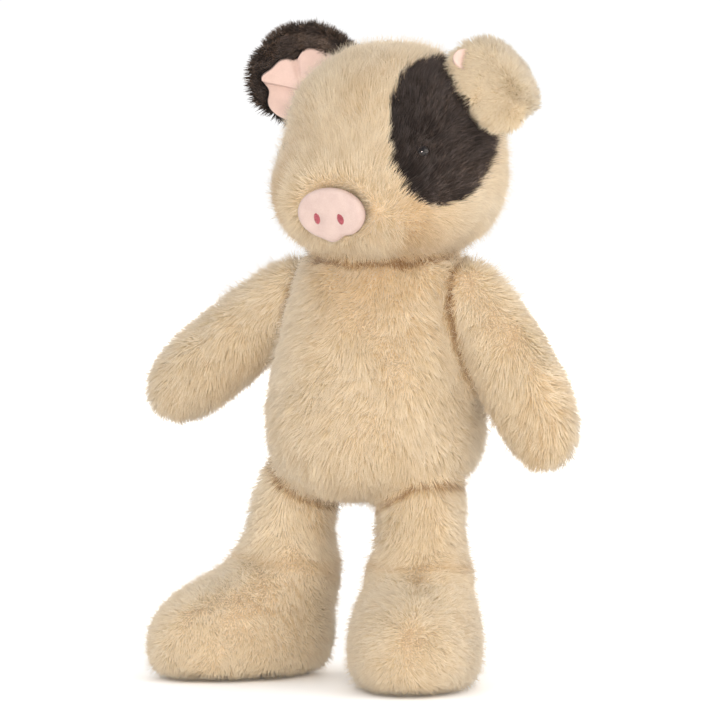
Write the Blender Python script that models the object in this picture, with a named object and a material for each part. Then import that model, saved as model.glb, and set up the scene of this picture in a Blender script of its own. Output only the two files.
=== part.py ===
"""A stuffed toy pig, standing, in long-pile plush with velour trim.

Each sewn or fitted piece is one closed solid, and its outer face is where the tips of the pile end.
Metres, +Z up. The toy faces -Y, so its own left side is +X. The toy is laid out from a point on the
floor between its legs, and moved at the end so that the origin is under the middle of its box.
"""

from math import cos, exp, pi, radians, sin, sqrt

import bmesh
import bpy
from mathutils import Matrix, Vector

# ---------------------------------------------------------------- driving dimensions

GAP = 0.0003                     # between pieces that touch

# Head: a squarish ball with a low, wide muzzle swelling out of its front.
HEAD_CENTRE = Vector((0.0080, 0.0030, 0.2780))
HEAD_HALF = Vector((0.0567, 0.0550, 0.0568))
CROWN_POWER = 2.10               # 2 is a plain ellipsoid, more fills its corners
JOWL_POWER = 2.90
JOWL_WIDE = 0.053                # how much wider the lower half is, as a share
MUZZLE_DROP = radians(27)        # from straight ahead, down to the muzzle's middle
MUZZLE_SWELL = 0.0092            # how far it stands out of the ball
MUZZLE_WIDE = radians(56)        # to each side of its middle
MUZZLE_TALL = radians(27)
BROW_DENT = 0.0030               # where the forehead meets the muzzle, level with the eyes
BROW_RISE = radians(9)
BROW_TALL = radians(17)
HEAD_GRID = 10                   # quads along each side of the cube that is rounded

# Snout: a stuffed velour disc on the muzzle, with two embroidered nostrils.
SNOUT_CENTRE = HEAD_CENTRE + Vector((-0.0015, -0.0650, -0.0325))
SNOUT_HALF_WIDTH = 0.0196
SNOUT_HALF_HEIGHT = 0.0136
SNOUT_THICK = 0.0080
SNOUT_PITCH = radians(8)         # it faces slightly down
NOSTRIL_APART = 0.0139
NOSTRIL_DROP = 0.0022            # below the disc's middle
NOSTRIL_HALF = Vector((0.0021, 0.0028, 0.0007))
NOSTRIL_SLANT = {"left": radians(24), "right": radians(16)}   # both lean the same way, sewn by hand

# Eyes: glossy beads sunk in the pile.
EYE_RADIUS = 0.0044
EYE_AZIMUTH = {"left": radians(46), "right": radians(53)}     # from straight ahead, to each side
EYE_SUNK = 0.0016                # how far its front lies under the pile's tips

# Trunk: pear-shaped, from seat to collar: (height, half width, half depth, x, y).
TRUNK_RINGS = (
    (0.0920, 0.0210, 0.0210, 0.0005, -0.0060),
    (0.0955, 0.0370, 0.0365, 0.0008, -0.0055),
    (0.1080, 0.0575, 0.0520, 0.0025, -0.0045),
    (0.1300, 0.0622, 0.0565, 0.0020, -0.0035),
    (0.1540, 0.0604, 0.0548, 0.0022, -0.0030),
    (0.1770, 0.0552, 0.0510, 0.0025, -0.0020),
    (0.1980, 0.0510, 0.0470, 0.0035, -0.0010),
    (0.2150, 0.0485, 0.0435, 0.0050, 0.0000),
    (0.2270, 0.0440, 0.0390, 0.0055, 0.0010),
)

# Arms: paddles that swell and bow outwards. (share of length, half width, half depth)
ARM_RINGS = (
    (-0.10, 0.0160, 0.0150),
    (0.00, 0.0220, 0.0200),
    (0.20, 0.0240, 0.0212),
    (0.45, 0.0245, 0.0220),
    (0.70, 0.0254, 0.0226),
    (0.90, 0.0212, 0.0186),
    (1.00, 0.0105, 0.0090),
)
ARMS = {
    "left": {
        "shoulder": Vector((0.0492, 0.0018, 0.2090)),
        "way": Vector((0.53, 0.00, -0.85)),
        "length": 0.1120,
        "bow": 0.0050,
    },
    "right": {
        "shoulder": Vector((-0.0440, 0.0010, 0.2040)),
        "way": Vector((-0.805, 0.02, -0.59)),
        "length": 0.1170,
        "bow": 0.0015,
    },
}

# Legs: short and round, over big soft feet turned outwards.
LEG_MIDDLE_X = -0.0045
LEG_APART = 0.0795
LEG_Y = -0.0150
TOE_OUT = {"left": radians(24), "right": radians(31)}
# (height, half width, how far inwards of the leg's axis; an upper ring lies as far back as inwards)
LEG_RINGS = {
    "left": (
        (0.0320, 0.0228, 0.0),
        (0.0400, 0.0240, 0.0),
        (0.0690, 0.0245, 0.0005),
        (0.0980, 0.0264, -0.0005),
        (0.1170, 0.0246, 0.0020),
        (0.1260, 0.0165, 0.0070),
    ),
    "right": (
        (0.0320, 0.0228, 0.0),
        (0.0400, 0.0246, -0.0015),
        (0.0690, 0.0262, -0.0015),
        (0.0980, 0.0246, 0.0030),
        (0.1170, 0.0220, 0.0070),
        (0.1260, 0.0150, 0.0100),
    ),
}
# (height, half length, half width, how far ahead of the leg's axis)
FOOT_RINGS = (
    (0.0000, 0.0450, 0.0290, 0.0300),
    (0.0012, 0.0475, 0.0315, 0.0300),
    (0.0100, 0.0532, 0.0356, 0.0296),
    (0.0240, 0.0548, 0.0364, 0.0290),
    (0.0390, 0.0508, 0.0342, 0.0252),
    (0.0500, 0.0402, 0.0298, 0.0165),
    (0.0585, 0.0290, 0.0258, 0.0055),
    (0.0640, 0.0205, 0.0200, 0.0000),
)

# Ears: leaves hinged on the head. The back and rim are pile; the front is lined with velour.
EAR_RIM = 0.0120                 # pile beyond the lining's edge
EAR_PILE = 0.0110                # on the back
LINING_THICK = 0.0016
EARS = {
    "left": {
        "root": HEAD_CENTRE + Vector((0.0402, 0.0130, 0.0216)),
        "way": Vector((0.80, 0.28, 0.58)),
        "hinge": Vector((0.60, 0.00, -0.80)),
        "length": 0.0570,
        "half_width": 0.0250,
        "at_root": 0.68,
        "widest": 0.76,
        "fold": radians(166),
        "fold_from": 0.33,
        "fold_to": 0.82,
        "cup": 0.0010,
        "pile": "plush_cream",
    },
    "right": {
        "root": HEAD_CENTRE + Vector((-0.0328, 0.0120, 0.0236)),
        "way": Vector((-0.885, 0.04, 0.465)),
        "hinge": Vector((0.66, 0.04, 0.75)),
        "length": 0.0505,
        "half_width": 0.0252,
        "at_root": 0.90,
        "widest": 0.50,
        "fold": radians(24),
        "fold_from": 0.30,
        "fold_to": 1.20,
        "cup": 0.0060,
        "pile": "plush_charcoal",
    },
}

# Tail: a small curl of velour at the back.
TAIL_RADIUS = 0.0034
TAIL_CURL = 0.0080
TAIL_TURNS = 1.3
TAIL_LENGTH = 0.0240
TAIL_ROOT = Vector((0.0010, 0.0480, 0.1450))
TAIL_POINTS = 18

# Colour, roughness.
FINISHES = {
    "plush_cream": ((0.80, 0.62, 0.40, 1), 0.9),
    "plush_charcoal": ((0.035, 0.028, 0.026, 1), 0.9),
    "velour_pink": ((0.86, 0.66, 0.60, 1), 0.85),
    "embroidery_red": ((0.60, 0.12, 0.17, 1), 0.5),
    "eye_black": ((0.01, 0.01, 0.01, 1), 0.08),
}


# ---------------------------------------------------------------- helpers

def finish(name):
    """A Principled material, made once for each name."""
    made = bpy.data.materials.get(name)
    if made:
        return made
    colour, roughness = FINISHES[name]
    made = bpy.data.materials.new(name)
    made.use_nodes = True
    shader = made.node_tree.nodes["Principled BSDF"]
    shader.inputs["Base Color"].default_value = colour
    shader.inputs["Roughness"].default_value = roughness
    shader.inputs["Metallic"].default_value = 0.0
    return made


def link(name, bm, look):
    """The bmesh as a smooth-shaded object in the scene."""
    bmesh.ops.recalc_face_normals(bm, faces=bm.faces)
    mesh = bpy.data.meshes.new(name)
    bm.to_mesh(mesh)
    bm.free()
    mesh.shade_smooth()
    mesh.materials.append(finish(look))
    made = bpy.data.objects.new(name, mesh)
    bpy.context.scene.collection.objects.link(made)
    return made


def loft(name, outlines, look):
    """A closed solid through outlines of as many points each, with a fan over each end."""
    bm = bmesh.new()
    rings = [[bm.verts.new(p) for p in outline] for outline in outlines]
    count = len(rings[0])
    for low, high in zip(rings, rings[1:]):
        for i in range(count):
            j = (i + 1) % count
            bm.faces.new((low[i], low[j], high[j], high[i]))
    for end in (rings[0], rings[-1]):
        middle = bm.verts.new(sum((v.co for v in end), Vector()) / count)
        for i in range(count):
            bm.faces.new((end[i], end[(i + 1) % count], middle))
    return link(name, bm, look)


def oval(centre, across, along, count):
    """Points round an ellipse that the vectors across and along span."""
    turn = 2 * pi / count
    return [centre + across * cos(i * turn) + along * sin(i * turn) for i in range(count)]


def outer_oval(centre, across, along, count):
    """Points outside an ellipse, whose sides lie on it once they are rounded."""
    full = 1 / cos(pi / count)
    return oval(centre, across * full, along * full, count)


def smoothed(made):
    """Rounds a solid with a Subdivision Surface modifier."""
    modifier = made.modifiers.new("round", "SUBSURF")
    modifier.levels = 1
    modifier.render_levels = 1
    return made


def helper(made):
    """Marks an object as a cutter, which isn't part of the toy."""
    made.hide_render = True
    made.display_type = "WIRE"
    return made


def grown(made):
    """A cutter: a copy of a solid, larger all round by the gap."""
    copy = made.copy()
    copy.data = made.data.copy()
    copy.name = "cutter_" + made.name
    bpy.context.scene.collection.objects.link(copy)
    swell = copy.modifiers.new("swell", "DISPLACE")
    swell.strength = GAP
    swell.mid_level = 0
    return helper(copy)


def cut(made, *cutters):
    """Takes each cutter out of a solid."""
    for cutter in cutters:
        modifier = made.modifiers.new("clear_of_" + cutter.name, "BOOLEAN")
        modifier.operation = "DIFFERENCE"
        modifier.solver = "EXACT"
        modifier.object = cutter
    return made


def towards(way, up=Vector((0, 0, 1))):
    """A turn that takes +Z to way, with +Y as near to up as it can be."""
    z = way.normalized()
    x = up.cross(z).normalized()
    return Matrix((x, z.cross(x), z)).transposed()


def bead(name, centre, half, turn, look, segments):
    """A rounded bead whose own axes are turn's columns."""
    bm = bmesh.new()
    bmesh.ops.create_uvsphere(bm, u_segments=segments, v_segments=segments // 2 + 1, radius=1)
    place = Matrix.Translation(centre) @ turn.to_4x4() @ Matrix.Diagonal((*half, 1))
    bmesh.ops.transform(bm, matrix=place, verts=bm.verts)
    return link(name, bm, look)


# ---------------------------------------------------------------- head and face

def head_reach(way):
    """How far the head's surface is from its centre along a unit way."""
    jowl = (1 - way.z) / 2
    jowl = jowl * jowl * (3 - 2 * jowl)
    power = CROWN_POWER + (JOWL_POWER - CROWN_POWER) * jowl
    ball = sum(abs(way[i] / HEAD_HALF[i]) ** power for i in range(3)) ** (-1 / power)
    ball *= 1 + JOWL_WIDE * jowl * (1 - way.z * way.z)
    if way.y > 0:
        return ball
    side = way.x / sin(MUZZLE_WIDE)
    rise = (way.z + sin(MUZZLE_DROP)) / sin(MUZZLE_TALL)
    swell = MUZZLE_SWELL * exp(-(side * side + rise * rise) ** 1.4)
    dent = BROW_DENT * exp(-(((way.z - sin(BROW_RISE)) / sin(BROW_TALL)) ** 2))
    return ball + (swell - dent) * min(-2.5 * way.y, 1)


def head_surface(way):
    """The point of the head's surface along a way from its centre."""
    way = way.normalized()
    return HEAD_CENTRE + way * head_reach(way)


def make_head():
    bm = bmesh.new()
    bmesh.ops.create_cube(bm, size=2)
    bmesh.ops.subdivide_edges(bm, edges=bm.edges, cuts=HEAD_GRID - 1, use_grid_fill=True)
    for v in bm.verts:
        even = Vector([sin(c * pi / 4) / cos(c * pi / 4) for c in v.co])
        v.co = head_surface(even)
    return link("head", bm, "plush_cream")


def make_eye(side_name, side, head):
    """A bead, and the well in the pile that it looks out of."""
    azimuth = EYE_AZIMUTH[side_name]
    surface = head_surface(Vector((side * sin(azimuth), -cos(azimuth), 0)))
    out = (surface - HEAD_CENTRE).normalized()
    centre = surface - out * (EYE_RADIUS + EYE_SUNK)
    turn = towards(out)
    eye = bead("eye_" + side_name, centre, (EYE_RADIUS,) * 3, turn, "eye_black", 12)
    rim = EYE_RADIUS + GAP
    outlines = []
    for height, share in ((-1.0 * rim, 0.5), (-0.5 * rim, 0.95), (0, 1.08), (EYE_RADIUS + 0.006, 1.3)):
        outlines.append(oval(centre + out * height, turn.col[0] * rim * share, turn.col[1] * rim * share, 12))
    cut(head, helper(loft("cutter_well_" + side_name, outlines, "eye_black")))
    return eye


def snout_outlines(grow, back):
    """Ovals from the snout's back to its domed front, larger all round by grow."""
    out = Vector((0, -cos(SNOUT_PITCH), -sin(SNOUT_PITCH)))
    up = Vector((0, -sin(SNOUT_PITCH), cos(SNOUT_PITCH)))
    for depth, share in ((back, 0.95), (0.45, 1.0), (0.28, 0.96), (0.14, 0.85), (0.05, 0.65), (0.0, 0.35)):
        middle = SNOUT_CENTRE - out * (SNOUT_THICK * depth - grow)
        width, height = SNOUT_HALF_WIDTH * share + grow, SNOUT_HALF_HEIGHT * share + grow
        yield oval(middle, Vector((width, 0, 0)), up * height, 18)


def make_snout(head):
    snout = loft("snout", list(snout_outlines(0.0, 1.0)), "velour_pink")
    pocket = loft("cutter_snout", list(snout_outlines(GAP, 1.1)), "velour_pink")
    cut(head, helper(pocket))
    out = Vector((0, -cos(SNOUT_PITCH), -sin(SNOUT_PITCH)))
    turn = towards(out)
    made = [snout]
    for side_name, side in (("left", 1), ("right", -1)):
        lean = Matrix.Rotation(NOSTRIL_SLANT[side_name], 3, "Z")
        place = Vector((side * NOSTRIL_APART / 2, 0, -NOSTRIL_DROP)) - out * 0.0008
        nostril = bead(
            "nostril_" + side_name, SNOUT_CENTRE + place, NOSTRIL_HALF, turn @ lean, "embroidery_red", 10
        )
        cut(snout, grown(nostril))
        made.append(nostril)
    return made


# ---------------------------------------------------------------- trunk and limbs

def make_trunk():
    outlines = []
    for z, half_width, half_depth, x, y in TRUNK_RINGS:
        across, along = Vector((half_width, 0, 0)), Vector((0, half_depth, 0))
        outlines.append(outer_oval(Vector((x, y, z)), across, along, 12))
    return smoothed(loft("trunk", outlines, "plush_cream"))


def make_arm(side_name, side):
    """A paddle whose wide side faces front and back."""
    arm = ARMS[side_name]
    way = arm["way"].normalized()
    turn = towards(way, Vector((0, -1, 0)))
    outlines = []
    for share, half_width, half_depth in ARM_RINGS:
        bow = turn.col[0] * side * arm["bow"] * sin(pi * share)
        centre = arm["shoulder"] + way * arm["length"] * share + bow
        outlines.append(outer_oval(centre, turn.col[0] * half_width, turn.col[1] * half_depth, 10))
    return smoothed(loft("arm_" + side_name, outlines, "plush_cream"))


def make_leg(side_name, side):
    axis_x = LEG_MIDDLE_X + side * LEG_APART / 2
    outlines = []
    for z, half, inwards in LEG_RINGS[side_name]:
        centre = Vector((axis_x - side * inwards, LEG_Y + max(inwards, 0), z))
        outlines.append(outer_oval(centre, Vector((half, 0, 0)), Vector((0, half, 0)), 10))
    return smoothed(loft("leg_" + side_name, outlines, "plush_cream"))


def make_foot(side_name, side):
    """Level slices, so that the sole is flat and the top runs back into the leg."""
    axis = Vector((LEG_MIDDLE_X + side * LEG_APART / 2, LEG_Y, 0))
    toe_out = TOE_OUT[side_name]
    ahead = Vector((side * sin(toe_out), -cos(toe_out), 0))
    across = Vector((cos(toe_out), side * sin(toe_out), 0))
    outlines = []
    for z, half_length, half_width, forward in FOOT_RINGS:
        centre = axis + ahead * forward + Vector((0, 0, z))
        outlines.append(outer_oval(centre, across * half_width, ahead * half_length, 12))
    return smoothed(loft("foot_" + side_name, outlines, "plush_cream"))


# ---------------------------------------------------------------- ears and tail

def fold_at(ear, share):
    """How far the ear has folded by a share of its length."""
    s = min(max((share - ear["fold_from"]) / (ear["fold_to"] - ear["fold_from"]), 0.0), 1.0)
    return Matrix.Rotation(ear["fold"] * s * s * (3 - 2 * s), 3, ear["hinge"])


def ear_frame(ear, share):
    """The point of the ear's middle line at a share of its length, and the way it runs there."""
    steps = 16
    point = ear["root"].copy()
    for i in range(steps):
        step = ear["length"] * share / steps
        point += fold_at(ear, share * (i + 0.5) / steps) @ ear["way"].normalized() * step
    return point, fold_at(ear, share) @ ear["way"].normalized()


def leaf_width(ear, share):
    """A leaf's width as a share of its widest: narrower at the root, rounded at the tip."""
    rise = sin(min(share / ear["widest"], 1.0) * pi / 2)
    past = max(share - ear["widest"], 0.0) / (1 - ear["widest"])
    return (ear["at_root"] + (1 - ear["at_root"]) * rise) * sqrt(max(1 - past ** 2.8, 0.0))


def ear_section(ear, share, half, front, thick, count):
    """A closed outline across the ear: its front face and then its rounded back."""
    middle, way = ear_frame(ear, share)
    across = ear["hinge"].normalized()
    facing = across.cross(way).normalized()
    points = []
    for side, depth in ((1, 0.0), (-1, thick)):
        for i in range(count):
            t = side * (-1 + 2 * (i + 0.5) / count)
            hollow = ear["cup"] * (half * t / ear["half_width"]) ** 2
            back = depth * sqrt(1 - t * t)
            points.append(middle + across * half * t + facing * (front + hollow - back))
    return points


def make_ear(side_name):
    ear = EARS[side_name]
    shares = (0.0, 0.18, 0.36, 0.54, 0.70, 0.84, 0.95, 1.0)
    over = 1 + EAR_RIM / ear["length"]
    back_face, full = -LINING_THICK / 2, ear["half_width"] + EAR_RIM
    halves = [max(full * leaf_width(ear, s), 0.004) for s in shares]
    outlines = [
        ear_section(ear, s * over, half, back_face, EAR_PILE, 5) for s, half in zip(shares, halves)
    ]
    pile = smoothed(loft("ear_" + side_name, outlines, ear["pile"]))
    halves = [max(ear["half_width"] * leaf_width(ear, s), 0.002) for s in shares]
    outlines = [
        ear_section(ear, s, half, LINING_THICK / 2, LINING_THICK, 6) for s, half in zip(shares, halves)
    ]
    lining = loft("ear_lining_" + side_name, outlines, "velour_pink")
    return cut(pile, grown(lining)), lining


def make_tail(trunk):
    """A corkscrew that leaves the back of the trunk and turns as it goes."""
    curve = bpy.data.curves.new("tail", "CURVE")
    curve.dimensions = "3D"
    curve.bevel_depth = TAIL_RADIUS
    curve.bevel_resolution = 1
    curve.use_fill_caps = True
    spline = curve.splines.new("POLY")
    spline.points.add(TAIL_POINTS - 1)
    for i, point in enumerate(spline.points):
        share = i / (TAIL_POINTS - 1)
        turn = share * TAIL_TURNS * 2 * pi
        reach = TAIL_CURL * (1 - 0.4 * share)
        place = TAIL_ROOT + Vector((reach * sin(turn), TAIL_LENGTH * share, reach * (1 - cos(turn))))
        point.co = (*place, 1)
        point.radius = 1 - 0.35 * share
    drawn = bpy.data.objects.new("tail_curve", curve)
    bpy.context.scene.collection.objects.link(drawn)
    bm = bmesh.new()
    bm.from_mesh(drawn.to_mesh())
    bpy.data.objects.remove(drawn)
    bmesh.ops.remove_doubles(bm, verts=bm.verts, dist=0.00001)
    return cut(link("tail", bm, "velour_pink"), grown(trunk))


# ---------------------------------------------------------------- the toy

def centre_on_floor(pieces):
    """Moves the whole toy so that it stands at z 0 with its box's middle over the origin."""
    bpy.context.view_layer.update()
    graph = bpy.context.evaluated_depsgraph_get()
    corners = []
    for piece in pieces:
        corners += [v.co.copy() for v in piece.evaluated_get(graph).to_mesh().vertices]
    low = [min(c[i] for c in corners) for i in range(3)]
    high = [max(c[i] for c in corners) for i in range(3)]
    shift = Vector((-(low[0] + high[0]) / 2, -(low[1] + high[1]) / 2, -low[2]))
    for made in bpy.data.objects:
        made.location += shift


def main():
    for old in list(bpy.data.objects):
        bpy.data.objects.remove(old)
    head = make_head()
    trunk = make_trunk()
    whole_head, whole_trunk = grown(head), grown(trunk)
    cut(trunk, whole_head)
    pieces = [head, trunk]
    for side_name, side in (("left", 1), ("right", -1)):
        foot = make_foot(side_name, side)
        leg = cut(make_leg(side_name, side), whole_trunk, grown(foot))
        arm = cut(make_arm(side_name, side), whole_trunk, whole_head)
        ears = [cut(part, whole_head) for part in make_ear(side_name)]
        pieces += [foot, leg, arm, *ears, make_eye(side_name, side, head)]
    pieces += make_snout(head)
    pieces.append(make_tail(trunk))
    centre_on_floor(pieces)


main()
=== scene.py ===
"""A plush pig toy in long-piled fur fabric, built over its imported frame.

Lengths are in metres, +Z is up and the toy faces -Y, so its own left side is +X.
The fabric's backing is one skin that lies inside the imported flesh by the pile's depth.
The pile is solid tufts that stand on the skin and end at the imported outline.
"""

from math import cos, pi, radians, sin, sqrt

import bpy
import numpy as np
import openvdb
from mathutils import Matrix, Vector
from mathutils.kdtree import KDTree

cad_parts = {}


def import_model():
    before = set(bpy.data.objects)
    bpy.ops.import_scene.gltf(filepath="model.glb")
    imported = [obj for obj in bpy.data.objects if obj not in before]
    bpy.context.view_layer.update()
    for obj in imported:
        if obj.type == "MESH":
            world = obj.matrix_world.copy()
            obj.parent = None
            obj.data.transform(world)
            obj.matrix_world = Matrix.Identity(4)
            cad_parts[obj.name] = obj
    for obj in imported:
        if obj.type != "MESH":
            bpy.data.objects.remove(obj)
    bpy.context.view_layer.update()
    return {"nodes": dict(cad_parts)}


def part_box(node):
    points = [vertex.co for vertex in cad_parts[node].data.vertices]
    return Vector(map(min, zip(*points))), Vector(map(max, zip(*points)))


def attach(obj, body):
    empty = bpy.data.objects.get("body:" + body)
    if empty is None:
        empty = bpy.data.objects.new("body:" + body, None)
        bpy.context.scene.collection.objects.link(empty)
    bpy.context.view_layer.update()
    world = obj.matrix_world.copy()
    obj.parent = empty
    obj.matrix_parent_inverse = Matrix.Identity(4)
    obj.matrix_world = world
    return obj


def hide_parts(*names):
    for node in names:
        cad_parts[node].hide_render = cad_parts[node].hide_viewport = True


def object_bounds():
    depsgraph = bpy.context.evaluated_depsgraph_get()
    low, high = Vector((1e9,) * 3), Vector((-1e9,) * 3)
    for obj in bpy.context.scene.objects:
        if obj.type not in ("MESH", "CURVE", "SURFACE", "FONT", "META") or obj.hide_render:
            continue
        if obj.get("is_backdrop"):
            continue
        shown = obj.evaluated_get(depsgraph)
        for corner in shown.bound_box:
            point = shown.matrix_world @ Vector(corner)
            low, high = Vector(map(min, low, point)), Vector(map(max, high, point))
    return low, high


SEED = 7

# ------------------------ sizes

FLESH = ("head", "trunk", "arm_left", "arm_right", "leg_left", "leg_right", "foot_left", "foot_right")

HEAD_CENTRE = Vector((0.0197, 0.0123, 0.2780))
HEAD_HALF = np.array((0.0567, 0.0550, 0.0568))

# The grid that the skin's distances are kept on.
CELL = 0.002
MARGIN = 0.016
BAND_CELLS = 9

# How softly solids run into each other, and the level that closes the sewn gaps.
JOIN = 0.0015
ANKLE_JOIN = 0.018
SEAM_LEVEL = 0.0005

# How deep the pile is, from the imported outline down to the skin.
BODY_PILE = 0.0056
HEAD_PILE = 0.0052
FACE_PILE = 0.0038
FOOT_PILE = 0.0044
NECK_Z = 0.222
MUZZLE_REACH = 0.043             # from the snout's middle to the seam round the muzzle
ANKLE_Z = 0.062

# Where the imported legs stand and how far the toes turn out, for the lie of the feet's pile.
LEGS_MIDDLE_X = 0.0072
LEG_APART = 0.0795
LEG_Y = -0.0057
TOE_OUT = {"left": radians(24), "right": radians(31)}

# The dark patch round the left eye, as angles about the head's centre. It leans back as it rises.
PATCH_AZIMUTH = radians(70.5)
PATCH_RISE = radians(18.5)
PATCH_HALF_WIDE = radians(40.5)
PATCH_HALF_TALL = radians(42.5)
PATCH_LEAN = 0.26

# The snout pad.
SNOUT_CENTRE = np.array(HEAD_CENTRE + Vector((-0.0015, -0.0650, -0.0325)))
SNOUT_HALF_WIDTH = 0.0196
SNOUT_HALF_HEIGHT = 0.0136
SNOUT_THICK = 0.0080
SNOUT_PITCH = radians(8)
SNOUT_OUT = np.array((0, -cos(SNOUT_PITCH), -sin(SNOUT_PITCH)))
SNOUT_UP = np.array((0, -sin(SNOUT_PITCH), cos(SNOUT_PITCH)))
SNOUT_ACROSS = np.array((1.0, 0.0, 0.0))
NOSTRIL_APART = 0.0139
NOSTRIL_DROP = 0.0022
NOSTRIL_HALF_WIDE = 0.0021
NOSTRIL_HALF_TALL = 0.0028
NOSTRIL_SLANT = {"left": radians(24), "right": radians(16)}
STITCHES = 11
THREAD_RADIUS = 0.00030

EYE_RADIUS = 0.0044
EYE_SUNK = 0.0018                # how far its front lies under the pile's tips
EYE_CLEAR = {"left": (0.38, 1.02), "right": (0.25, 0.50)}     # the opening in the pile, across and up
EYE_BACK = -1.5                  # where that opening ends behind the eye's middle, in radii

# Ears: leaves hinged on the head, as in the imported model. A lining is an oval about a place
# along and across its ear, and each of its lobes is (angle, height, width) on that oval's edge.
# A pleat lifts half of a lining over the rest, and a curl turns its furthest corner back.
EAR_SKIN_RIM = 0.0024
EAR_SKIN_THICK = 0.0044
EAR_PILE = 0.0066
LINING_THICK = 0.0012
EARS = {
    "left": {
        "root": HEAD_CENTRE + Vector((0.0380, 0.0115, 0.0194)),
        "way": Vector((0.80, 0.28, 0.58)),
        "hinge": Vector((0.60, 0.00, -0.80)),
        "length": 0.0570,
        "half_width": 0.0240,
        "at_root": 0.46,
        "widest": 0.80,
        "fold": radians(166),
        "fold_from": 0.33,
        "fold_to": 0.82,
        "cup": 0.0010,
        "dark": 0.0,
        "lean": 0.55,
        "lining": (0.0290, 0.0, 0.0190),
        "lobes": ((-38, 0.85, 18),),
        "pleat": 0.0,
        "curl": 0.0130,
    },
    "right": {
        "root": HEAD_CENTRE + Vector((-0.0328, 0.0120, 0.0236)),
        "way": Vector((-0.885, 0.04, 0.465)),
        "hinge": Vector((0.66, 0.04, 0.75)),
        "length": 0.0535,
        "half_width": 0.0268,
        "at_root": 0.90,
        "widest": 0.50,
        "fold": radians(24),
        "fold_from": 0.30,
        "fold_to": 1.20,
        "cup": 0.0060,
        "dark": 1.0,
        "lean": 0.25,
        "lining": (0.0250, -0.0045, 0.0225),
        "lobes": ((32, -0.22, 12), (-20, 0.14, 10), (-44, -0.09, 12)),
        "pleat": 0.0042,
        "curl": 0.0,
    },
}

TAIL_TURNS = 1.3
TAIL_REACH = 0.0080
TAIL_RADIUS = 0.0033

# The coat: how many tufts, shared out by area.
BODY_TUFTS = 315000
EAR_TUFTS = 27000
TUFTS_A_PIECE = 48000
PATCH_UV = 0.003                 # a tuft's size on the unwrap
SNOUT_BARE = 0.86                # no tuft stands inside this share of the pad's outline,
LINING_BARE = 1.03               # nor inside this share of a lining's

# A tuft is a long point on a three-sided foot.
TUFT_FACES = np.array(((0, 2, 1), (3, 0, 1), (3, 1, 2), (3, 2, 0)))
UNDER_SHARE = 0.28               # wide tufts that close the coat
UNDER_HEIGHT, UNDER_WIDTH = 0.88, 1.5
STRAY_SHARE = 0.14               # thin ones that stand out of it
STRAY_HEIGHT, STRAY_WIDTH, STRAY_LEAN = 1.70, 0.6, 0.4
PLAIN_HEIGHT = 1.01
LEAST_LEAN = 0.6                 # no tuft stands upright, as it would show as a dot from in front
FOOT_DEPTH = 0.0006              # how far a tuft's foot is set into the skin
SIDE_LIGHT = 0.08                # how much of a tuft's own roundness shows in its shading

NOWHERE_NEAR = 9.0               # a share that is outside of any outline

CAMERA_TARGET = Vector((0.0043, 0.0051, 0.1663))
CAMERA_AZIMUTH = radians(30)
CAMERA_RISE = radians(4.2)
CAMERA_DISTANCE = 3.45
VIEW_WIDTH = 0.3787
WARM = (1.0, 0.93, 0.83)


# ------------------------ small maths

def unit(vectors):
    return vectors / np.maximum(np.linalg.norm(vectors, axis=-1, keepdims=True), 1e-9)


def ramp(low, high, values):
    """0 below low, 1 above high, and a smooth rise between."""
    t = np.clip((values - low) / (high - low), 0, 1)
    return t * t * (3 - 2 * t)


def waves(points, size, seed, count=7):
    """A smooth random field of about unit height, whose bumps are about size apart."""
    rng = np.random.default_rng(seed)
    ways = unit(rng.normal(size=(count, 3)))
    total = np.zeros(len(points))
    for way in ways:
        total += np.sin(points @ way * 2 * pi / (size * rng.uniform(0.7, 1.5)) + rng.uniform(0, 2 * pi))
    return total / sqrt(count / 2)


def tangent(ways, normals):
    """The part of each way that lies along the surface."""
    return ways - normals * (ways * normals).sum(1, keepdims=True)


# ------------------------ materials

def material(name, roughness, sheen=0.0, sheen_tint=(1, 1, 1)):
    """A new material, with its node tree and its shader."""
    made = bpy.data.materials.new(name)
    made.use_nodes = True
    shader = made.node_tree.nodes["Principled BSDF"]
    shader.inputs["Roughness"].default_value = roughness
    shader.inputs["Sheen Weight"].default_value = sheen
    shader.inputs["Sheen Roughness"].default_value = 0.45
    shader.inputs["Sheen Tint"].default_value = (*sheen_tint, 1)
    return made, made.node_tree, shader


def feed(tree, socket, value):
    """Links a node's output to a socket, or else sets the socket's own value."""
    if hasattr(value, "is_output"):
        tree.links.new(value, socket)
    else:
        socket.default_value = value


def add(tree, kind, **inputs):
    """A node, with its input sockets fed by name."""
    node = tree.nodes.new(kind)
    for key, value in inputs.items():
        feed(tree, node.inputs[key], value)
    return node


def colour_ramp(tree, factor, stops):
    """Colours by share: stops are (place, (red, green, blue))."""
    node = tree.nodes.new("ShaderNodeValToRGB")
    tree.links.new(factor, node.inputs["Fac"])
    elements = node.color_ramp.elements
    while len(elements) < len(stops):
        elements.new(0.5)
    for element, (place, colour) in zip(elements, stops):
        element.position = place
        element.color = (*colour, 1)
    return node.outputs["Color"]


def mixed(tree, factor, first, second, blend="MIX"):
    """Two colours mixed, or blended another way."""
    node = tree.nodes.new("ShaderNodeMix")
    node.data_type = "RGBA"
    node.blend_type = blend
    for number, value in ((0, factor), (6, first), (7, second)):
        feed(tree, node.inputs[number], value)
    return node.outputs[2]


def noise(tree, scale, detail=3.0, roughness=0.5):
    """Noise in the object's own space."""
    place = tree.nodes.new("ShaderNodeTexCoord").outputs["Object"]
    node = add(tree, "ShaderNodeTexNoise", Vector=place, Scale=scale, Detail=detail, Roughness=roughness)
    return node.outputs["Fac"]


def bump(tree, shader, height, strength, distance):
    """Raises the surface by a height, in the shading only."""
    node = add(tree, "ShaderNodeBump", Height=height, Strength=strength, Distance=distance)
    tree.links.new(node.outputs["Normal"], shader.inputs["Normal"])


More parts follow.
